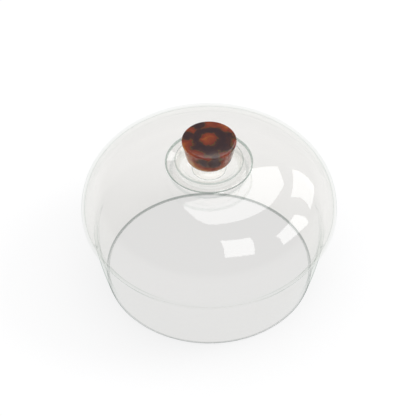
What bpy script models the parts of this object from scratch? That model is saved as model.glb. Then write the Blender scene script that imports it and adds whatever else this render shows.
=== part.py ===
"""Glass cloche: a wide blown bell on an open foot, closed at its flared neck by a lift-off glass stopper.

Every piece is turned about the vertical axis. Lengths are in metres, +Z is up, and the origin is the centre
of the ring that the bell stands on.
"""
import math

import bpy

# The bell: outer radii and heights of the places that set its shape.
FOOT_RADIUS = 0.1000
BULGE_RADIUS = 0.1214
BULGE_HEIGHT = 0.0842
SHOULDER_RADIUS = 0.1089
SHOULDER_HEIGHT = 0.1170
CROWN_HEIGHT = 0.1321
CROWN_EDGE_RADIUS = 0.0885
CROWN_FALL = 0.0036
TUCK_RADIUS = 0.1125
TUCK_HEIGHT = 0.0640
SKIRT_TOP_RADIUS = 0.1101
SKIRT_TOP_HEIGHT = 0.0500
WAIST_RADIUS = 0.0300
WAIST_HEIGHT = 0.1362
NECK_FILLET = 0.0072
LIP_RADIUS = 0.0411
LIP_HEIGHT = 0.1440
BELL_WALL = 0.0028
FOOT_HEIGHT = 0.0012
RIM_CORNER = 0.0007

# The stopper, a shallow dish that hangs in the flare of the neck.
DISH_RADIUS = 0.0323
DISH_TOP = 0.1472
DISH_FLOOR = 0.1351
DISH_WALL_RADIUS = 0.0271
DISH_WALL_DEPTH = 0.0057
DISH_FLOOR_RADIUS = 0.0176
DISH_WALL = 0.0030

# The clear foot that carries the knob.
FOOT_BASE_RADIUS = 0.0163
FOOT_STEM_RADIUS = 0.0095
FOOT_HEAD_RADIUS = 0.0125
FOOT_BASE_THICKNESS = 0.0034

# The knob.
KNOB_TOP_RADIUS = 0.0257
KNOB_BASE_RADIUS = 0.0205
KNOB_BOTTOM = 0.1470
KNOB_TOP = 0.1719

# The glue film between bonded pieces, and the seat's clearance.
BOND_GAP = 0.0003

BELL_SEGMENTS = 56
DISH_SEGMENTS = 48
KNOB_SEGMENTS = 40
FOOT_SEGMENTS = 28
MERGE_DISTANCE = 0.00001


def smooth_curve(knots, steps):
    """Return points on a smooth curve through knots (radius, height, heading in degrees).

    Each span is one cubic whose handles are as long as those of a circular arc with the same turn.
    """
    points = []
    for (r0, z0, h0), (r1, z1, h1), count in zip(knots[:-1], knots[1:], steps):
        turn = math.radians((h1 - h0 + 180.0) % 360.0 - 180.0)
        handle = math.hypot(r1 - r0, z1 - z0) / (3.0 * math.cos(turn / 4.0) ** 2)
        a0, a1 = math.radians(h0), math.radians(h1)
        ra, za = r0 + handle * math.cos(a0), z0 + handle * math.sin(a0)
        rb, zb = r1 - handle * math.cos(a1), z1 - handle * math.sin(a1)
        for i in range(count):
            t = i / count
            s = 1.0 - t
            weights = (s ** 3, 3 * s * s * t, 3 * s * t * t, t ** 3)
            r = sum(w * v for w, v in zip(weights, (r0, ra, rb, r1)))
            z = sum(w * v for w, v in zip(weights, (z0, za, zb, z1)))
            points.append((r, z))
    points.append(knots[-1][:2])
    return points


def offset(points, first_heading, last_heading, distance):
    """Return the points moved by distance to the left of the direction of travel."""
    moved = []
    last = len(points) - 1
    for i, (r, z) in enumerate(points):
        if i == 0:
            angle = math.radians(first_heading)
        elif i == last:
            angle = math.radians(last_heading)
        else:
            (r0, z0), (r1, z1) = points[i - 1], points[i + 1]
            angle = math.atan2(z1 - z0, r1 - r0)
        moved.append((r - distance * math.sin(angle), z + distance * math.cos(angle)))
    return moved


def arc(centre, radius, start, end, count):
    """Return count points strictly inside an arc from start to end degrees."""
    angles = [math.radians(start + (end - start) * i / (count + 1)) for i in range(1, count + 1)]
    return [(centre[0] + radius * math.cos(a), centre[1] + radius * math.sin(a)) for a in angles]


def rounded(corners, count=3):
    """Return an outline through corners (radius, height, rounding), with an arc at each rounded corner."""
    outline = []
    for i, (r, z, rounding) in enumerate(corners):
        if rounding == 0.0:
            outline.append((r, z))
            continue
        before, after = corners[i - 1], corners[i + 1]
        d0 = (before[0] - r, before[1] - z)
        d1 = (after[0] - r, after[1] - z)
        n0, n1 = math.hypot(*d0), math.hypot(*d1)
        u0 = (d0[0] / n0, d0[1] / n0)
        u1 = (d1[0] / n1, d1[1] / n1)
        half = math.acos(u0[0] * u1[0] + u0[1] * u1[1]) / 2.0
        reach = rounding / math.tan(half)
        start = (r + u0[0] * reach, z + u0[1] * reach)
        end = (r + u1[0] * reach, z + u1[1] * reach)
        middle = (u0[0] + u1[0], u0[1] + u1[1])
        scale = rounding / math.sin(half) / math.hypot(*middle)
        centre = (r + middle[0] * scale, z + middle[1] * scale)
        a0 = math.degrees(math.atan2(start[1] - centre[1], start[0] - centre[0]))
        a1 = math.degrees(math.atan2(end[1] - centre[1], end[0] - centre[0]))
        a1 = a0 + (a1 - a0 + 180.0) % 360.0 - 180.0
        outline.append(start)
        outline.extend(arc(centre, rounding, a0, a1, count))
        outline.append(end)
    return outline


def material(name, colour, roughness, transmission, ior):
    """Make a plain Principled material."""
    made = bpy.data.materials.new(name)
    made.use_nodes = True
    shader = made.node_tree.nodes["Principled BSDF"]
    shader.inputs["Base Color"].default_value = (*colour, 1.0)
    shader.inputs["Roughness"].default_value = roughness
    shader.inputs["Metallic"].default_value = 0.0
    shader.inputs["Transmission Weight"].default_value = transmission
    shader.inputs["IOR"].default_value = ior
    made.diffuse_color = (*colour, 1.0 - 0.6 * transmission)
    return made


def turned(name, outline, closed, segments, finish, parts):
    """Turn an outline about the vertical axis. It runs down the piece's outer side."""
    count = len(outline)
    edges = [(i, i + 1) for i in range(count - 1)]
    if closed:
        edges.append((count - 1, 0))
    mesh = bpy.data.meshes.new(name)
    mesh.from_pydata([(r, 0.0, z) for r, z in outline], edges, [])
    mesh.materials.append(finish)
    piece = bpy.data.objects.new(name, mesh)
    parts.objects.link(piece)
    screw = piece.modifiers.new("Turn", "SCREW")
    screw.axis = "Z"
    screw.angle = 2.0 * math.pi
    screw.steps = segments
    screw.render_steps = segments
    screw.use_merge_vertices = True
    screw.merge_threshold = MERGE_DISTANCE
    screw.use_smooth_shade = True
    return piece


def bell_middle():
    """Return the middle line of the bell's wall, from the lip down to the foot, and its end headings."""
    half = BELL_WALL / 2.0
    knots = [
        (LIP_RADIUS - half, LIP_HEIGHT, 196.0),
        (WAIST_RADIUS - half, WAIST_HEIGHT, 270.0),
        (WAIST_RADIUS + NECK_FILLET, CROWN_HEIGHT - half, 358.0),
        (CROWN_EDGE_RADIUS, CROWN_HEIGHT - CROWN_FALL - half, 344.5),
        (SHOULDER_RADIUS - half * math.sqrt(0.5), SHOULDER_HEIGHT - half * math.sqrt(0.5), 315.0),
        (BULGE_RADIUS - half, BULGE_HEIGHT, 270.0),
        (TUCK_RADIUS - half, TUCK_HEIGHT, 238.0),
        (SKIRT_TOP_RADIUS - half, SKIRT_TOP_HEIGHT, 263.0),
        (FOOT_RADIUS - half, FOOT_HEIGHT, 256.0),
    ]
    return smooth_curve(knots, (5, 4, 3, 3, 4, 4, 3, 2)), knots[0][2], knots[-1][2]


def make_bell(parts):
    """The blown bell: lip, neck, shoulder, bulge and skirt in one wall, with a ground rim to stand on."""
    half = BELL_WALL / 2.0
    middle, lip_heading, foot_heading = bell_middle()
    outer = offset(middle, lip_heading, foot_heading, half)
    inner = offset(middle, lip_heading, foot_heading, -half)
    ground = [(outer[-1][0] - RIM_CORNER, 0.0), (inner[-1][0] + RIM_CORNER, 0.0)]
    lip = arc(middle[0], half, lip_heading - 90.0, lip_heading - 270.0, 3)
    outline = outer + ground + inner[::-1] + lip
    glass = material("clear_blown_glass", (0.93, 0.96, 0.95), 0.01, 1.0, 1.47)
    return turned("glass_bell", outline, True, BELL_SEGMENTS, glass, parts)


def make_stopper(parts):
    """The stopper: a pressed dish with a round rim, a sloping wall and a flat floor."""
    half = DISH_WALL / 2.0
    floor = DISH_FLOOR - half
    knots = [
        (DISH_RADIUS - half, DISH_TOP - half, 196.0),
        (DISH_WALL_RADIUS, DISH_TOP - DISH_WALL_DEPTH, 242.0),
        (DISH_FLOOR_RADIUS, floor, 180.0),
        (0.0, floor, 180.0),
    ]
    rim_heading, floor_heading = knots[0][2], knots[-1][2]
    middle = smooth_curve(knots, (4, 6, 1))
    under = offset(middle, rim_heading, floor_heading, half)
    upper = offset(middle, rim_heading, floor_heading, -half)
    rim = arc(middle[0], half, rim_heading - 90.0, rim_heading - 270.0, 3)
    outline = upper[::-1] + rim + under
    glass = material("clear_pressed_glass", (0.92, 0.95, 0.94), 0.02, 1.0, 1.50)
    return turned("vent_stopper", outline, False, DISH_SEGMENTS, glass, parts)


def make_foot(parts):
    """The clear foot: a round base, a waisted stem and a small head under the knob."""
    bottom = DISH_FLOOR + BOND_GAP
    top = KNOB_BOTTOM - BOND_GAP
    shoulder = bottom + FOOT_BASE_THICKNESS
    corners = [
        (0.0, top, 0.0),
        (FOOT_HEAD_RADIUS, top, 0.0006),
        (FOOT_HEAD_RADIUS, top - 0.0018, 0.0006),
        (FOOT_STEM_RADIUS, top - 0.0036, 0.0016),
        (FOOT_STEM_RADIUS, shoulder, 0.0014),
        (FOOT_BASE_RADIUS, shoulder, 0.0014),
        (FOOT_BASE_RADIUS, bottom, 0.0006),
        (0.0, bottom, 0.0),
    ]
    glass = material("clear_cast_foot", (0.93, 0.95, 0.95), 0.02, 1.0, 1.49)
    return turned("knob_foot", rounded(corners, 2), False, FOOT_SEGMENTS, glass, parts)


def make_knob(parts):
    """The cast resin knob: a flat top with a soft edge, a tapered side and a round lower edge."""
    corners = [
        (0.0, KNOB_TOP, 0.0),
        (KNOB_TOP_RADIUS, KNOB_TOP, 0.0011),
        (KNOB_BASE_RADIUS, KNOB_BOTTOM, 0.0090),
        (0.0, KNOB_BOTTOM, 0.0),
    ]
    resin = material("tortoiseshell_resin", (0.22, 0.05, 0.02), 0.12, 0.0, 1.50)
    return turned("resin_knob", rounded(corners, 5), False, KNOB_SEGMENTS, resin, parts)


def main():
    for old in list(bpy.data.objects):
        bpy.data.objects.remove(old, do_unlink=True)
    parts = bpy.data.collections.new("glass_cloche")
    bpy.context.scene.collection.children.link(parts)
    make_bell(parts)
    make_stopper(parts)
    make_foot(parts)
    make_knob(parts)


main()
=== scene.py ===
"""Glass cloche: a wide blown bell with a flared neck, a pressed stopper and a tortoiseshell resin knob.

The file is laid out as an add-on and is run as a script. Lengths are in metres and +Z is up. Every piece is
turned about the vertical axis, so each one is a profile (radius, height) carried round that axis.
"""
import math

import bpy
import numpy as np
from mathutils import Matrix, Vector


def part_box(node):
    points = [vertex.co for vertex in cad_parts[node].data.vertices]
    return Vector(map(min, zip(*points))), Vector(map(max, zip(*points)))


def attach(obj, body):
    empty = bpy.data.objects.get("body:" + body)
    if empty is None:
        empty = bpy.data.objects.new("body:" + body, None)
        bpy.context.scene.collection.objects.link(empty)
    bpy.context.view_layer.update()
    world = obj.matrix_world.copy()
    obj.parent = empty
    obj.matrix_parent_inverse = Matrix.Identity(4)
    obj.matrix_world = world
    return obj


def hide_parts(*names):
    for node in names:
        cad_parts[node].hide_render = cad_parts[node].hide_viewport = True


bl_info = {
    "name": "Glass cloche",
    "version": (1, 0, 0),
    "blender": (4, 5, 0),
    "location": "3D View > Sidebar > Cloche",
    "description": "Builds a blown glass cloche with a stopper and a resin knob",
    "category": "Add Mesh",
}

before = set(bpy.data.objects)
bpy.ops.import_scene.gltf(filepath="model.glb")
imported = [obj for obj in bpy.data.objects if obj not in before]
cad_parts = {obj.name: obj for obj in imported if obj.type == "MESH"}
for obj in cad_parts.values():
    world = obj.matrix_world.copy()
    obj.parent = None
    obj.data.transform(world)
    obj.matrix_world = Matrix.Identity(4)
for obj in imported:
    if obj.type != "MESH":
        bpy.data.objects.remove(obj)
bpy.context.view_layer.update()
BELL_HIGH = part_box("glass_bell")[1]
FOOT_LOW, FOOT_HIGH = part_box("knob_foot")
KNOB_LOW, KNOB_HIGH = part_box("resin_knob")
MM = 0.001

# The bell's places from the lip down to the ground rim: outer radii, heights on the outer face or the crown,
# and how far the crown falls to its edge.
LIP_HEIGHT = 144.0 * MM
WAIST_HEIGHT = 136.2 * MM
NECK_FILLET = 7.2 * MM
CROWN_HEIGHT = 132.1 * MM
CROWN_EDGE_RADIUS = 88.5 * MM
CROWN_FALL = 3.6 * MM
SHOULDER_RADIUS, SHOULDER_HEIGHT = 108.9 * MM, 117.0 * MM
BULGE_HEIGHT = 84.2 * MM
TUCK_RADIUS, TUCK_HEIGHT = 112.5 * MM, 64.0 * MM
SKIRT_TOP_RADIUS, SKIRT_TOP_HEIGHT = 110.1 * MM, 50.0 * MM
FOOT_HEIGHT = 1.2 * MM
GROUND_CORNER = 0.7 * MM

# The stopper's dish.
DISH_RADIUS, DISH_TOP = 32.3 * MM, 147.2 * MM
DISH_WALL_RADIUS, DISH_WALL_DEPTH = 27.1 * MM, 5.7 * MM
DISH_FLOOR_RADIUS, DISH_FLOOR = 17.6 * MM, 135.1 * MM

# The knob's clear foot.
STEM_RADIUS, HEAD_RADIUS, BASE_THICKNESS = 9.5 * MM, 12.5 * MM, 3.4 * MM
HEAD_THICKNESS, HEAD_TAPER = 1.8 * MM, 1.8 * MM
FINE_ROUNDING, STEM_ROUNDING, THROAT_ROUNDING = 0.6 * MM, 1.4 * MM, 1.6 * MM

# The knob.
KNOB_TOP_RADIUS, KNOB_BASE_RADIUS = 25.7 * MM, 20.5 * MM
KNOB_EDGE, KNOB_BASE_ROUNDING = 1.1 * MM, 9.0 * MM

# The longest straight step along the outline of the foot or the knob.
LONGEST_STEP = 1.5 * MM

# Where each painted ring sits: how far in from the edge, or out where negative, how far above it, or below,
# and the distances from there at which the colour is still full and at which it has gone. The lip's ring is
# its green darkened with painted shade, the others are painted shade lines.
LIP_GREEN_AND_SHADE_RING = (0.7 * MM, -0.6 * MM, 1.0 * MM, 1.9 * MM)
GROUND_SHADE_RING = (0.5 * MM, 0.0, 1.1 * MM, 2.3 * MM)
NECK_SHADE_RING = (-6.0 * MM, 0.0, 0.4 * MM, 2.6 * MM)
DISH_SHADE_RING = (0.6 * MM, -1.0 * MM, 0.5 * MM, 1.6 * MM)
BASE_SHADE_RING = (0.3 * MM, 0.4 * MM, 0.3 * MM, 1.2 * MM)

# Glass: how strongly the blown bell and the small pieces shine, and what each lets through to soft light and
# shadows. The body's index is that of air: a thin wall hardly bends what is seen through it, and the small
# solid foot follows suit.
BELL_GLOSS, SMALL_GLOSS = 1.7, 1.45
BELL_SHADE, SMALL_SHADE = "#8C8C8C", "#E8E8E8"
BODY_IOR = 1.0
# How far the glass is turned edge-on, from 0 to 1, where the painted shade along its outline starts and
# where it is full.
OUTLINE_SHADE_START, OUTLINE_SHADE_FULL = 0.86, 0.96
# Width of the faint unevenness in each piece's reflections.
BELL_WAVE, DISH_WAVE, FOOT_WAVE = 30.0 * MM, 22.0 * MM, 12.0 * MM


# Curves and turned surfaces


def smooth_curve(knots, steps):
    """Points on a smooth curve through knots (radius, height, heading in degrees).

    Each span is the cubic (1-t)^3 a + 3(1-t)^2 t b + 3(1-t) t^2 c + t^3 d, whose handles b and c lie on the
    headings at the length that a circular arc with the same turn would need.
    """
    spans = []
    for (r0, z0, h0), (r1, z1, h1) in zip(knots[:-1], knots[1:]):
        start, end = np.array((r0, z0)), np.array((r1, z1))
        turn = math.radians((h1 - h0 + 180.0) % 360.0 - 180.0)
        handle = np.hypot(*(end - start)) / (3.0 * math.cos(turn / 4.0) ** 2)
        a0, a1 = math.radians(h0), math.radians(h1)
        first = start + handle * np.array((math.cos(a0), math.sin(a0)))
        second = end - handle * np.array((math.cos(a1), math.sin(a1)))
        t = np.linspace(0.0, 1.0, steps, endpoint=False)[:, None]
        s = 1.0 - t
        spans.append(s ** 3 * start + 3 * s * s * t * first + 3 * s * t * t * second + t ** 3 * end)
    spans.append(np.array([knots[-1][:2]]))
    return np.vstack(spans)


def offset(points, first_heading, last_heading, distance):
    """The points moved by distance along the left-hand normal (-dz, dr) of the direction of travel."""
    travel = np.empty_like(points)
    travel[1:-1] = points[2:] - points[:-2]
    for i, heading in ((0, first_heading), (-1, last_heading)):
        travel[i] = math.cos(math.radians(heading)), math.sin(math.radians(heading))
    travel /= np.linalg.norm(travel, axis=1)[:, None]
    return points + distance * np.stack((-travel[:, 1], travel[:, 0]), axis=1)


def arc(centre, radius, start, end, count):
    """Points at equal angles strictly inside the arc centre + radius (cos a, sin a), a from start to end."""
    angle = np.radians(np.linspace(start, end, count + 2)[1:-1])
    return np.asarray(centre) + radius * np.stack((np.cos(angle), np.sin(angle)), axis=1)


def rounded(corners, count):
    """An outline through corners (radius, height, rounding), each rounding an arc tangent to both sides."""
    pieces = []
    for i, (r, z, rounding) in enumerate(corners):
        corner = np.array((r, z))
        if rounding == 0.0:
            pieces.append(corner[None])
            continue
        before = np.array(corners[i - 1][:2]) - corner
        after = np.array(corners[i + 1][:2]) - corner
        before, after = before / np.linalg.norm(before), after / np.linalg.norm(after)
        half = math.acos(float(before @ after)) / 2.0
        start = corner + before * rounding / math.tan(half)
        end = corner + after * rounding / math.tan(half)
        middle = before + after
        centre = corner + middle * rounding / math.sin(half) / np.linalg.norm(middle)
        a0 = math.degrees(math.atan2(start[1] - centre[1], start[0] - centre[0]))
        a1 = math.degrees(math.atan2(end[1] - centre[1], end[0] - centre[0]))
        a1 = a0 + (a1 - a0 + 180.0) % 360.0 - 180.0
        pieces += [start[None], arc(centre, rounding, a0, a1, count), end[None]]
    return np.vstack(pieces)


def divided(outline, longest):
    """The outline with each straight run cut into equal steps no longer than longest."""
    pieces = []
    for a, b in zip(outline[:-1], outline[1:]):
        count = max(1, math.ceil(np.hypot(*(b - a)) / longest))
        pieces.append(a + (b - a) * np.linspace(0.0, 1.0, count, endpoint=False)[:, None])
    pieces.append(outline[-1:])
    return np.vstack(pieces)


def turned(name, outline, closed, segments):
    """A surface of revolution: point (i, j) is (r_i cos a_j, r_i sin a_j, z_i) with a_j = 2 pi j / segments.

    The outline runs down the piece's outer side. A closed outline joins its last point to its first, and an
    open one starts and ends on the axis, where a single point takes the place of the ring.
    """
    angle = 2.0 * np.pi * np.arange(segments) / segments
    rings = outline if closed else outline[1:-1]
    count = len(rings)
    points = np.empty((count, segments, 3))
    points[..., 0] = rings[:, 0, None] * np.cos(angle)
    points[..., 1] = rings[:, 0, None] * np.sin(angle)
    points[..., 2] = rings[:, 1, None]
    points = points.reshape(-1, 3)
    i = np.arange(count if closed else count - 1)[:, None]
    j = np.arange(segments)[None, :]
    below, beside = (i + 1) % count, (j + 1) % segments
    a, b = i * segments + j, below * segments + j
    c, d = below * segments + beside, i * segments + beside
    quads = np.stack((a, b, c, d), axis=-1).reshape(-1, 4)
    fans = []
    if not closed:
        top, bottom = len(points), len(points) + 1
        poles = [(0.0, 0.0, outline[0][1]), (0.0, 0.0, outline[-1][1])]
        points = np.vstack((points, poles))
        ring, following = np.arange(segments), (np.arange(segments) + 1) % segments
        last = (count - 1) * segments
        fans += np.stack((np.full(segments, top), ring, following), axis=-1).tolist()
        fans += np.stack((np.full(segments, bottom), last + following, last + ring), axis=-1).tolist()
    mesh = bpy.data.meshes.new(name)
    mesh.from_pydata(points.tolist(), [], quads.tolist() + fans)
    mesh.shade_smooth()
    mesh.update()
    made = bpy.data.objects.new(name, mesh)
    bpy.context.scene.collection.objects.link(made)
    return made


def stand_for(piece, body, node):
    """Let a piece ride on its body and replace its CAD node, which is hidden."""
    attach(piece, body)
    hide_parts(node)


# Materials


def linear(code):
    """Turn an sRGB hex colour into linear red, green, blue and alpha."""
    parts = [int(code[i:i + 2], 16) / 255.0 for i in (1, 3, 5)]
    return (*[v / 12.92 if v <= 0.04045 else ((v + 0.055) / 1.055) ** 2.4 for v in parts], 1.0)


def add(tree, kind, settings=None, **links):
    """Add a node, set its attributes or sockets from settings, and link its named sockets."""
    node = tree.nodes.new(kind)
    for key, value in (settings or {}).items():
        if isinstance(key, str) and hasattr(node, key):
            setattr(node, key, value)
        else:
            node.inputs[key].default_value = value
    for key, source in links.items():
        socket = node.inputs[int(key[1:])] if key[0] == "i" and key[1:].isdigit() else node.inputs[key]
        tree.links.new(source, socket)
    return node


def mathematics(tree, operation, first, second=None, third=None):
    """A Math node whose inputs are numbers or sockets."""
    node = add(tree, "ShaderNodeMath", {"operation": operation})
    for i, value in enumerate((first, second, third)):
        if isinstance(value, bpy.types.NodeSocket):
            tree.links.new(value, node.inputs[i])
        elif value is not None:
            node.inputs[i].default_value = value
    return node.outputs["Value"]


def vectors(tree, operation, first, second=None, scale=None):
    """A Vector Math node whose inputs are vectors or sockets."""
    node = add(tree, "ShaderNodeVectorMath", {"operation": operation})
    for i, value in enumerate((first, second)):
        if isinstance(value, bpy.types.NodeSocket):
            tree.links.new(value, node.inputs[i])
        elif value is not None:
            node.inputs[i].default_value = value
    if scale is not None:
        node.inputs["Scale"].default_value = scale
    return node.outputs["Value" if operation in ("DISTANCE", "LENGTH") else "Vector"]


def new_material(name):
    """An empty node material and its tree."""
    made = bpy.data.materials.new(name)
    made.use_nodes = True
    made.node_tree.nodes.clear()
    return made, made.node_tree


def near_ring(tree, place, radius, height, inside, outside):
    """1 within a distance of inside from a level ring about the Z axis, falling smoothly to 0 at outside."""
    axes = add(tree, "ShaderNodeSeparateXYZ", None, Vector=place)
    flat = add(tree, "ShaderNodeCombineXYZ", None, X=axes.outputs["X"], Y=axes.outputs["Y"])
    out = add(tree, "ShaderNodeVectorMath", {"operation": "LENGTH"}, i0=flat.outputs["Vector"])
    section = add(tree, "ShaderNodeCombineXYZ", None, X=out.outputs["Value"], Y=axes.outputs["Z"])
    away = add(
        tree, "ShaderNodeVectorMath", {"operation": "DISTANCE", 1: (radius, height, 0.0)},
        i0=section.outputs["Vector"],
    )
    return add(
        tree, "ShaderNodeMapRange",
        {"interpolation_type": "SMOOTHSTEP", "From Min": outside, "From Max": inside},
        Value=away.outputs["Value"],
    ).outputs["Result"]


def rim(colour, radius, height, place):
    """A painted ring for clear_glass: its colour, painted shade or the lip's shaded green, and its ring, set
    off from an edge by one of the _RING places.
    """
    inset, rise, full, gone = place
    return colour, radius - inset, height + rise, full, gone


def clear_glass(name, made, rims, wave, lamp_share, gloss):
    """Clear glass: the eye sees reflections, painted rings and painted shade along the outline, little else.

    The coat carries the reflections, on the outside of each face, and a bump as wide as wave makes them as
    uneven as blowing or pressing leaves them. Each rim is a colour and a ring as near_ring takes it, painted
    into the base colour: the lip's green darkened with painted shade, and elsewhere painted shade lines in
    place of the dark lines that refraction, reflection and contact shadow give real glass. Where the wall
    turns edge-on the glass is painted darker, to made.outline, as painted shade, and made.tint builds up on
    the way through it. Soft light and shadows pass at lamp_share, so that the floor inside stays evenly lit.
    """
    glazed, tree = new_material(name)
    place = add(tree, "ShaderNodeTexCoord").outputs["Object"]
    shade = None
    # Painted rings: each mixes its colour, painted shade or the lip's shaded green, into the base colour.
    for edge, *ring in rims:
        mask = near_ring(tree, place, *ring)
        start = {"data_type": "RGBA", 6: linear(made.colour), 7: linear(edge)}
        blend = add(tree, "ShaderNodeMix", start, i0=mask)
        if shade is not None:
            tree.links.new(shade, blend.inputs[6])
        shade = blend.outputs[2]
    # Painted shade: the base colour darkens to made.outline where the wall turns edge-on.
    facing = add(tree, "ShaderNodeLayerWeight", {"Blend": 0.5})
    along = add(
        tree, "ShaderNodeMapRange",
        {"interpolation_type": "SMOOTHSTEP", "From Min": OUTLINE_SHADE_START, "From Max": OUTLINE_SHADE_FULL},
        Value=facing.outputs["Facing"],
    )
    shade = add(
        tree, "ShaderNodeMix", {"data_type": "RGBA", 7: linear(made.outline)},
        i0=along.outputs["Result"], i6=shade,
    ).outputs[2]
    side = add(tree, "ShaderNodeNewGeometry")
    front = mathematics(tree, "SUBTRACT", 1.0, side.outputs["Backfacing"])
    across = mathematics(tree, "SUBTRACT", 1.0, along.outputs["Result"])
    gleam = mathematics(tree, "MULTIPLY", front, across)
    waves = add(tree, "ShaderNodeTexNoise", {"Scale": 1.0 / wave, "Detail": 1.0}, Vector=place)
    bump = add(
        tree, "ShaderNodeBump", {"Strength": 0.004, "Distance": 1.0 * MM}, Height=waves.outputs["Fac"]
    )
    glass = add(
        tree, "ShaderNodeBsdfPrincipled",
        {
            "Base Color": linear(made.colour), "Roughness": 0.0, "IOR": BODY_IOR,
            "Transmission Weight": 1.0, "Coat Weight": 1.0, "Coat Roughness": 0.01, "Coat IOR": gloss,
        },
    )
    tree.links.new(shade, glass.inputs["Base Color"])
    tree.links.new(gleam, glass.inputs["Coat Weight"])
    tree.links.new(bump.outputs["Normal"], glass.inputs["Coat Normal"])
    clear = add(tree, "ShaderNodeBsdfTransparent", {"Color": linear(lamp_share)})
    path = add(tree, "ShaderNodeLightPath")
    mixed = glass.outputs["BSDF"]
    for ray in ("Is Diffuse Ray", "Is Shadow Ray"):
        mixed = add(
            tree, "ShaderNodeMixShader", None, i0=path.outputs[ray], i1=mixed, i2=clear.outputs["BSDF"]
        ).outputs["Shader"]
    inside = add(tree, "ShaderNodeVolumeAbsorption", {"Color": linear(made.tint), "Density": made.depth})
    add(tree, "ShaderNodeOutputMaterial", None, Surface=mixed, Volume=inside.outputs["Volume"])
    return glazed


# Settings


class ClocheBell(bpy.types.PropertyGroup):
    """Sizes and colours of the bell."""

    wall: bpy.props.FloatProperty(
        name="Wall", description="Thickness of the blown wall", default=2.8 * MM, unit="LENGTH"
    )
    foot_radius: bpy.props.FloatProperty(
        name="Foot radius", description="Outer radius of the ground rim", default=0.100, unit="LENGTH"
    )
    lip_radius: bpy.props.FloatProperty(
        name="Lip radius", description="Outer radius of the flared lip", default=0.0411, unit="LENGTH"
    )
    waist_radius: bpy.props.FloatProperty(
        name="Waist radius", description="Outer radius of the neck's waist", default=0.030, unit="LENGTH"
    )
    colour: bpy.props.StringProperty(
        name="Colour", description="Surface colour of the glass", default="#FAF9F8"
    )
    # Painted shade along the outline where the wall turns edge-on, grey-green.
    outline: bpy.props.StringProperty(
        name="Outline", description="Colour where the wall turns edge-on", default="#CBD5D0"
    )
    # Partly the green of the thick lip, partly painted shade in place of the dark line that refraction gives
    # it.
    lip_green_and_shade: bpy.props.StringProperty(
        name="Lip edge", description="Green of the thick lip", default="#93A59C"
    )
    # Painted shade: a grey line where the neck starts, in place of the shading edge at the foot of the neck.
    neck_shade_line: bpy.props.StringProperty(
        name="Neck edge", description="Grey where the neck starts", default="#DDE1DF"
    )
    # Painted shade: a dark grey ring on the ground rim, in place of contact shadow and the dark line of
    # refraction.
    ground_rim_shade: bpy.props.StringProperty(
        name="Ground edge", description="Grey of the ground rim", default="#6F7975"
    )
    tint: bpy.props.StringProperty(
        name="Tint", description="What a long way through leaves", default="#C4D0C4"
    )
    depth: bpy.props.FloatProperty(
        name="Depth", description="How fast the tint builds up, per metre", default=12.0, min=0.0
    )


class ClocheStopper(bpy.types.PropertyGroup):
    """Sizes and colours of the stopper and the knob's foot."""

    wall: bpy.props.FloatProperty(
        name="Wall", description="Thickness of the pressed dish", default=3.0 * MM, unit="LENGTH"
    )
    colour: bpy.props.StringProperty(
        name="Colour", description="Surface colour of the glass", default="#FDFCFA"
    )
    # Painted shade along the outline where the glass turns edge-on, grey-green.
    outline: bpy.props.StringProperty(
        name="Outline", description="Colour where the wall turns edge-on", default="#CBD5D0"
    )
    # Painted shade: grey for the lines on the dish's rim and the foot's base edge.
    edge: bpy.props.StringProperty(name="Edge", description="Colour of the rims", default="#B9C3BF")
    tint: bpy.props.StringProperty(
        name="Tint", description="What a long way through leaves", default="#C8D2C8"
    )
    depth: bpy.props.FloatProperty(
        name="Depth", description="How fast the tint builds up, per metre", default=9.0, min=0.0
    )


class ClocheKnob(bpy.types.PropertyGroup):
    """Colours of the cast resin, from its darkest cloud to its clearest amber."""

    plum: bpy.props.StringProperty(name="Plum", description="Middle of a dark cloud", default="#3A1F24")
    brown: bpy.props.StringProperty(name="Brown", description="Rest of a dark cloud", default="#4A2622")
    olive: bpy.props.StringProperty(name="Olive", description="Thin edge of a cloud", default="#66481F")
    red: bpy.props.StringProperty(name="Red", description="Resin close to a cloud", default="#7E2C1D")
    orange: bpy.props.StringProperty(name="Orange", description="Open resin", default="#A0461D")
    amber: bpy.props.StringProperty(name="Amber", description="Clearest resin", default="#BC7A30")


class ClocheStage(bpy.types.PropertyGroup):
    """The floor, the light and the camera."""

    floor: bpy.props.FloatProperty(
        name="Floor", description="Radius of the floor", default=9.0, unit="LENGTH"
    )
    floor_colour: bpy.props.StringProperty(
        name="Floor colour", description="What the sheet scatters back", default="#9F9FA0"
    )
    floor_fleck: bpy.props.StringProperty(
        name="Floor fleck", description="Lighter parts of the sheet's faint mottle", default="#A4A4A4"
    )
    glow: bpy.props.FloatProperty(
        name="Glow", description="Light from under the sheet", default=0.79, min=0.0
    )
    sweep: bpy.props.StringProperty(
        name="Sweep", description="White behind the floor, up to the wall", default="#FDFDFD"
    )
    ceiling: bpy.props.StringProperty(
        name="Ceiling", description="Grey that the glass reflects from above", default="#C4C4C5"
    )
    distance: bpy.props.FloatProperty(
        name="Distance", description="Camera to the middle of the bell", default=2.0, unit="LENGTH"
    )
    elevation: bpy.props.FloatProperty(
        name="Elevation", description="Camera's height angle", default=math.radians(45.7), subtype="ANGLE"
    )
    aim: bpy.props.FloatProperty(name="Aim", description="Height it looks at", default=0.082, unit="LENGTH")
    lens: bpy.props.FloatProperty(name="Lens", description="Focal length in millimetres", default=181.7)


# Pieces


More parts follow.
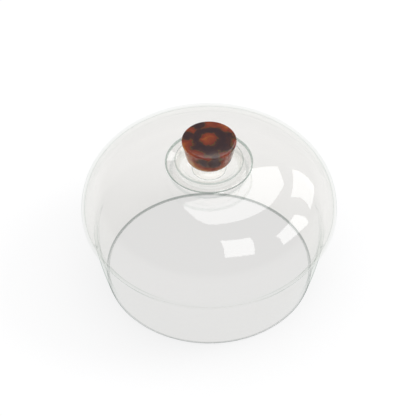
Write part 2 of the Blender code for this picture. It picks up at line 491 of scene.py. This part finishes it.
class CLOCHE_OT_bell(bpy.types.Operator):
    """Blow the bell: lip, waisted neck, low crown, wide bulge and tapered skirt in one wall"""

    bl_idname = "cloche.bell"
    bl_label = "Bell"

    def execute(self, context):
        made = context.scene.cloche_bell
        half = made.wall / 2.0
        slant = half * math.sqrt(0.5)
        knots = [
            (made.lip_radius - half, LIP_HEIGHT, 196.0),
            (made.waist_radius - half, WAIST_HEIGHT, 270.0),
            (made.waist_radius + NECK_FILLET, CROWN_HEIGHT - half, 358.0),
            (CROWN_EDGE_RADIUS, CROWN_HEIGHT - CROWN_FALL - half, 344.5),
            (SHOULDER_RADIUS - slant, SHOULDER_HEIGHT - slant, 315.0),
            (BELL_HIGH.x - half, BULGE_HEIGHT, 270.0),
            (TUCK_RADIUS - half, TUCK_HEIGHT, 238.0),
            (SKIRT_TOP_RADIUS - half, SKIRT_TOP_HEIGHT, 263.0),
            (made.foot_radius - half, FOOT_HEIGHT, 256.0),
        ]
        lip_heading, foot_heading = knots[0][2], knots[-1][2]
        middle = smooth_curve(knots, 12)
        outer = offset(middle, lip_heading, foot_heading, half)
        inner = offset(middle, lip_heading, foot_heading, -half)
        ground = np.array([(outer[-1][0] - GROUND_CORNER, 0.0), (inner[-1][0] + GROUND_CORNER, 0.0)])
        lip = arc(middle[0], half, lip_heading - 90.0, lip_heading - 270.0, 13)
        outline = np.vstack((outer, ground, inner[::-1], lip))
        bell = turned("blown_glass_bell", outline, True, 360)
        # Painted rings: the lip's green darkened with painted shade, a painted shade line where the neck
        # starts and a painted dark ring of shade on the ground rim.
        rims = (
            rim(made.lip_green_and_shade, made.lip_radius, LIP_HEIGHT, LIP_GREEN_AND_SHADE_RING),
            rim(made.ground_rim_shade, made.foot_radius, 0.0, GROUND_SHADE_RING),
            rim(made.neck_shade_line, made.waist_radius, CROWN_HEIGHT, NECK_SHADE_RING),
        )
        bell.data.materials.append(
            clear_glass("borosilicate_blown_glass", made, rims, BELL_WAVE, BELL_SHADE, BELL_GLOSS)
        )
        stand_for(bell, "bell", "glass_bell")
        return {"FINISHED"}


class CLOCHE_OT_stopper(bpy.types.Operator):
    """Press the stopper: a round rim, a sloping wall and a flat floor"""

    bl_idname = "cloche.stopper"
    bl_label = "Stopper"

    def execute(self, context):
        made = context.scene.cloche_stopper
        half = made.wall / 2.0
        floor = DISH_FLOOR - half
        knots = [
            (DISH_RADIUS - half, DISH_TOP - half, 196.0),
            (DISH_WALL_RADIUS, DISH_TOP - DISH_WALL_DEPTH, 242.0),
            (DISH_FLOOR_RADIUS, floor, 180.0),
            (0.0, floor, 180.0),
        ]
        rim_heading, floor_heading = knots[0][2], knots[-1][2]
        middle = smooth_curve(knots, 22)
        under = offset(middle, rim_heading, floor_heading, half)
        upper = offset(middle, rim_heading, floor_heading, -half)
        edge = arc(middle[0], half, rim_heading - 90.0, rim_heading - 270.0, 13)
        outline = np.vstack((upper[::-1], edge, under))
        dish = turned("pressed_glass_stopper", outline, False, 144)
        # Painted shade: a grey line on the dish's rim.
        rims = (rim(made.edge, DISH_RADIUS, DISH_TOP, DISH_SHADE_RING),)
        dish.data.materials.append(
            clear_glass("pressed_soda_glass", made, rims, DISH_WAVE, SMALL_SHADE, SMALL_GLOSS)
        )
        stand_for(dish, "stopper", "vent_stopper")
        return {"FINISHED"}


class CLOCHE_OT_foot(bpy.types.Operator):
    """Cast the clear foot: a round base, a waisted stem and a small head under the knob"""

    bl_idname = "cloche.foot"
    bl_label = "Knob foot"

    def execute(self, context):
        made = context.scene.cloche_stopper
        bottom, top, base = FOOT_LOW.z, FOOT_HIGH.z, FOOT_HIGH.x
        shoulder, chin = bottom + BASE_THICKNESS, top - HEAD_THICKNESS
        corners = [
            (0.0, top, 0.0),
            (HEAD_RADIUS, top, FINE_ROUNDING),
            (HEAD_RADIUS, chin, FINE_ROUNDING),
            (STEM_RADIUS, chin - HEAD_TAPER, THROAT_ROUNDING),
            (STEM_RADIUS, shoulder, STEM_ROUNDING),
            (base, shoulder, STEM_ROUNDING),
            (base, bottom, FINE_ROUNDING),
            (0.0, bottom, 0.0),
        ]
        foot = turned("clear_knob_foot", divided(rounded(corners, 8), LONGEST_STEP), False, 96)
        # Painted shade: a grey line on the foot's base edge.
        rims = (rim(made.edge, base, bottom, BASE_SHADE_RING),)
        foot.data.materials.append(
            clear_glass("polished_clear_glass_foot", made, rims, FOOT_WAVE, SMALL_SHADE, SMALL_GLOSS)
        )
        stand_for(foot, "stopper", "knob_foot")
        return {"FINISHED"}


# Dark clouds in the resin: x, y, height above the knob's base and radius, in millimetres.
CLOUDS = (
    (-20.5, 5.5, 24.0, 6.0),
    (-10.0, 20.5, 24.0, 7.0),
    (18.0, 5.0, 24.0, 7.0),
    (14.0, -8.0, 23.0, 9.5),
    (1.0, -14.0, 24.0, 9.0),
    (-10.0, -8.5, 24.0, 6.5),
    (-6.0, -23.5, 18.5, 6.0),
    (5.0, -23.5, 18.5, 7.5),
    (23.0, -13.0, 9.0, 4.5),
    (-22.0, 8.0, 10.0, 7.0),
    (-14.0, 19.0, 9.0, 7.0),
    (6.0, 23.0, 14.0, 8.0),
    (20.0, 13.0, 8.0, 7.0),
)
# The ring of dye under the top face: its middle, radius and half width, in millimetres, the height at which
# it is darkest, and how much paler it gets with each millimetre below that.
DYE_RING = (0.5, 1.0, 12.5, 4.8)
DYE_HEIGHT, DYE_FADE = 25.0, 0.12
# The slow swirl that draws the clouds out and the fine wisps on their edges: width in millimetres and reach.
SWIRL_WIDTH, SWIRL_REACH = 11.0, 9.0
WISP_WIDTH, WISP_REACH = 5.0, 1.2
# How softly clouds run into each other, and how much of the colour scale a cloud's radius takes up.
CLOUD_BLEND, SCALE_PER_RADIUS = 0.4, 0.44
# Width of the finest polishing scratches, in millimetres.
SCRATCH_WIDTH = 1.2


def tortoiseshell_resin(name, made):
    """Cast resin: open amber and red with dark clouds in it, polished to a wet gloss.

    The clouds are a ring under the top face and rounded drops round it, all drawn out by a slow swirl. One
    scale runs from a cloud's middle to the open resin, so that each cloud has a thin olive edge, as dye has
    where it thins out, and the resin next to it stays red.
    """
    resin, tree = new_material(name)
    place = add(tree, "ShaderNodeTexCoord").outputs["Object"]
    local = vectors(tree, "SUBTRACT", place, (0.0, 0.0, KNOB_LOW.z))
    local = vectors(tree, "SCALE", local, scale=1.0 / MM)
    swirl = add(
        tree, "ShaderNodeTexNoise", {"Scale": 1.0 / SWIRL_WIDTH, "Detail": 2.0, "Roughness": 0.5},
        Vector=local,
    )
    swirl = vectors(tree, "SUBTRACT", swirl.outputs["Color"], (0.5, 0.5, 0.5))
    drawn = vectors(tree, "ADD", local, vectors(tree, "SCALE", swirl, scale=SWIRL_REACH))

    axes = add(tree, "ShaderNodeSeparateXYZ", None, Vector=drawn)
    flat = add(tree, "ShaderNodeCombineXYZ", None, X=axes.outputs["X"], Y=axes.outputs["Y"])
    ring_x, ring_y, ring_radius, half_width = DYE_RING
    radius = vectors(tree, "DISTANCE", flat.outputs["Vector"], (ring_x, ring_y, 0.0))
    away = mathematics(tree, "ABSOLUTE", mathematics(tree, "SUBTRACT", radius, ring_radius))
    depth = mathematics(tree, "SUBTRACT", DYE_HEIGHT, axes.outputs["Z"])
    away = mathematics(tree, "DIVIDE", away, half_width)
    nearest = mathematics(tree, "MULTIPLY_ADD", depth, DYE_FADE, away)
    for x, y, height, size in CLOUDS:
        far = mathematics(tree, "DIVIDE", vectors(tree, "DISTANCE", drawn, (x, y, height)), size)
        nearest = mathematics(tree, "SMOOTH_MIN", nearest, far, CLOUD_BLEND)
    wisps = add(
        tree, "ShaderNodeTexNoise", {"Scale": 1.0 / WISP_WIDTH, "Detail": 3.0, "Roughness": 0.5},
        Vector=drawn,
    )
    wisps = mathematics(tree, "MULTIPLY_ADD", wisps.outputs["Fac"], WISP_REACH, -WISP_REACH / 2.0)
    level = mathematics(tree, "MULTIPLY", mathematics(tree, "ADD", nearest, wisps), SCALE_PER_RADIUS)
    scale = add(tree, "ShaderNodeValToRGB", None, Fac=level)
    stops = (
        (0.10, made.plum), (0.34, made.brown), (0.40, made.olive), (0.45, made.red),
        (0.74, made.orange), (0.95, made.amber),
    )
    ramp = scale.color_ramp
    while len(ramp.elements) < len(stops):
        ramp.elements.new(1.0)
    for element, (position, code) in zip(ramp.elements, stops):
        element.position = position
        element.color = linear(code)
    scratches = add(
        tree, "ShaderNodeTexNoise", {"Scale": 1.0 / SCRATCH_WIDTH, "Detail": 3.0, "Roughness": 0.7},
        Vector=local,
    )
    gloss = add(
        tree, "ShaderNodeMapRange", {"To Min": 0.02, "To Max": 0.05}, Value=scratches.outputs["Fac"]
    )
    bump = add(
        tree, "ShaderNodeBump", {"Strength": 0.01, "Distance": 0.1 * MM}, Height=scratches.outputs["Fac"]
    )
    surface = add(
        tree,
        "ShaderNodeBsdfPrincipled",
        {
            "IOR": 1.5, "Specular IOR Level": 0.3, "Coat Weight": 0.3, "Coat Roughness": 0.02,
            "Subsurface Weight": 0.2, "Subsurface Radius": (3.0, 1.0, 0.5), "Subsurface Scale": 1.5 * MM,
        },
    )
    tree.links.new(scale.outputs["Color"], surface.inputs["Base Color"])
    tree.links.new(gloss.outputs["Result"], surface.inputs["Roughness"])
    tree.links.new(bump.outputs["Normal"], surface.inputs["Normal"])
    add(tree, "ShaderNodeOutputMaterial", None, Surface=surface.outputs["BSDF"])
    return resin


class CLOCHE_OT_knob(bpy.types.Operator):
    """Cast the knob: a flat top with a soft edge, a tapered side and a round lower edge"""

    bl_idname = "cloche.knob"
    bl_label = "Knob"

    def execute(self, context):
        made = context.scene.cloche_knob
        bottom, top = KNOB_LOW.z, KNOB_HIGH.z
        corners = [
            (0.0, top, 0.0),
            (KNOB_TOP_RADIUS, top, KNOB_EDGE),
            (KNOB_BASE_RADIUS, bottom, KNOB_BASE_ROUNDING),
            (0.0, bottom, 0.0),
        ]
        knob = turned("tortoiseshell_knob", divided(rounded(corners, 14), LONGEST_STEP), False, 144)
        knob.data.materials.append(tortoiseshell_resin("cast_tortoiseshell_resin", made))
        # The crown and dish would mirror a whole second knob through their unbent glass, where real glass
        # breaks it up, so the knob is left out of reflections and of what is seen through glass.
        knob.visible_glossy = False
        knob.visible_transmission = False
        stand_for(knob, "stopper", "resin_knob")
        return {"FINISHED"}


# Stage

# Lamp panels: name, brightness, and corners as a compass angle from +Y towards +X and a height, in degrees.
LAMPS = (
    ("back_right_window", 2.8, ((19, 41), (48, 24.5), (66, 29.5), (28, 49))),
    ("right_window", 3.4, ((59, 49), (79, 24), (107, 36), (89, 56))),
    ("front_right_window", 3.4, ((14, 76), (51, 72), (130, 51), (160, 62))),
    (
        "back_softbox", 2.7,
        (
            (-1.7, 45.3), (1, 45.1), (8, 44), (14, 46.2), (12.8, 51.6),
            (8, 54), (1.8, 55), (-0.4, 54.6), (-1.7, 51),
        ),
    ),
)
# Their distance from a point a little above the floor, and the ones whose light also falls on the floor.
LAMP_DISTANCE, LAMP_CENTRE = 4.0, 0.1
FLOOR_LAMPS = ("right_window",)
# Sines of the height angles where the white sweep ends and the ceiling's grey is reached.
SWEEP_TOP = 0.10
CEILING_START = 0.50


class CLOCHE_OT_stage(bpy.types.Operator):
    """Lay a pale glowing floor, hang soft lamp panels round it and set the camera in front and above"""

    bl_idname = "cloche.stage"
    bl_label = "Stage"

    def execute(self, context):
        made = context.scene.cloche_stage
        bpy.ops.mesh.primitive_circle_add(vertices=96, radius=made.floor, fill_type="NGON")
        floor = context.object
        floor.name = "pale_floor"
        floor.data.materials.append(self.floor_material(made))
        for name, bright, corners in LAMPS:
            self.lamp(context, name, bright, corners)
        self.room(context, made)
        self.camera(context, made)
        context.scene.view_settings.view_transform = "Standard"
        return {"FINISHED"}

    def floor_material(self, made):
        """White acrylic sheet lit from below: an even glow with no hard shadows and a very faint mottle."""
        sheet, tree = new_material("backlit_white_acrylic")
        place = add(tree, "ShaderNodeTexCoord").outputs["Object"]
        mottle = add(tree, "ShaderNodeTexNoise", {"Scale": 3.0, "Detail": 2.0}, Vector=place)
        shade = add(
            tree, "ShaderNodeMix",
            {"data_type": "RGBA", 6: linear(made.floor_colour), 7: linear(made.floor_fleck)},
            i0=mottle.outputs["Fac"],
        )
        acrylic = add(
            tree, "ShaderNodeBsdfPrincipled",
            {
                "Roughness": 0.9, "Specular IOR Level": 0.0, "Emission Color": (1.0, 1.0, 1.0, 1.0),
                "Emission Strength": made.glow,
            },
        )
        tree.links.new(shade.outputs[2], acrylic.inputs["Base Color"])
        add(tree, "ShaderNodeOutputMaterial", None, Surface=acrylic.outputs["BSDF"])
        return sheet

    def lamp(self, context, name, bright, corners):
        """A flat glowing panel whose corners lie at the given angles, all at one distance from the bell."""
        around, above = np.radians(np.array(corners)).T
        level = np.cos(above)
        aim = np.stack((np.sin(around) * level, np.cos(around) * level, np.sin(above)), axis=1)
        mesh = bpy.data.meshes.new(name)
        points = aim * LAMP_DISTANCE + (0.0, 0.0, LAMP_CENTRE)
        mesh.from_pydata(points.tolist(), [], [tuple(range(len(corners)))])
        glow, tree = new_material(name)
        light = add(tree, "ShaderNodeEmission", {"Strength": bright})
        add(tree, "ShaderNodeOutputMaterial", None, Surface=light.outputs["Emission"])
        mesh.materials.append(glow)
        panel = bpy.data.objects.new(name, mesh)
        panel.visible_diffuse = name in FLOOR_LAMPS
        context.scene.collection.objects.link(panel)
        return panel

    def room(self, context, made):
        """A plain room: a white sweep up to a little above the horizon and a grey ceiling over it."""
        room = bpy.data.worlds.new("plain_room")
        room.use_nodes = True
        tree = room.node_tree
        place = add(tree, "ShaderNodeTexCoord").outputs["Generated"]
        axes = add(tree, "ShaderNodeSeparateXYZ", None, Vector=place)
        above = add(
            tree, "ShaderNodeMapRange",
            {"interpolation_type": "SMOOTHSTEP", "From Min": SWEEP_TOP, "From Max": CEILING_START},
            Value=axes.outputs["Z"],
        )
        shade = add(
            tree, "ShaderNodeMix",
            {"data_type": "RGBA", 6: linear(made.sweep), 7: linear(made.ceiling)},
            i0=above.outputs["Result"],
        )
        tree.links.new(shade.outputs[2], tree.nodes["Background"].inputs["Color"])
        context.scene.world = room

    def camera(self, context, made):
        """A long lens in front of and above the object."""
        lens = bpy.data.cameras.new("camera")
        lens.lens = made.lens
        lens.shift_x = -0.0026
        lens.clip_end = 50.0
        camera = bpy.data.objects.new("camera", lens)
        camera.location = (
            0.0,
            -made.distance * math.cos(made.elevation),
            made.aim + made.distance * math.sin(made.elevation),
        )
        camera.rotation_euler = (math.pi / 2.0 - made.elevation, 0.0, 0.0)
        context.scene.collection.objects.link(camera)
        context.scene.camera = camera


class CLOCHE_PT_panel(bpy.types.Panel):
    """Buttons for the cloche's pieces and its stage"""

    bl_idname = "CLOCHE_PT_panel"
    bl_label = "Glass cloche"
    bl_space_type = "VIEW_3D"
    bl_region_type = "UI"
    bl_category = "Cloche"

    def draw(self, context):
        for operator in OPERATORS:
            self.layout.operator(operator.bl_idname, text=operator.bl_label)


OPERATORS = (CLOCHE_OT_bell, CLOCHE_OT_stopper, CLOCHE_OT_foot, CLOCHE_OT_knob, CLOCHE_OT_stage)
SETTINGS = {
    "cloche_bell": ClocheBell,
    "cloche_stopper": ClocheStopper,
    "cloche_knob": ClocheKnob,
    "cloche_stage": ClocheStage,
}


def register():
    for made in (*SETTINGS.values(), *OPERATORS, CLOCHE_PT_panel):
        bpy.utils.register_class(made)
    for name, made in SETTINGS.items():
        setattr(bpy.types.Scene, name, bpy.props.PointerProperty(type=made))


def unregister():
    for name in SETTINGS:
        delattr(bpy.types.Scene, name)
    for made in reversed((*SETTINGS.values(), *OPERATORS, CLOCHE_PT_panel)):
        bpy.utils.unregister_class(made)


def main():
    register()
    bpy.ops.cloche.bell()
    bpy.ops.cloche.stopper()
    bpy.ops.cloche.foot()
    bpy.ops.cloche.knob()
    bpy.ops.cloche.stage()


if __name__ == "__main__":
    main()
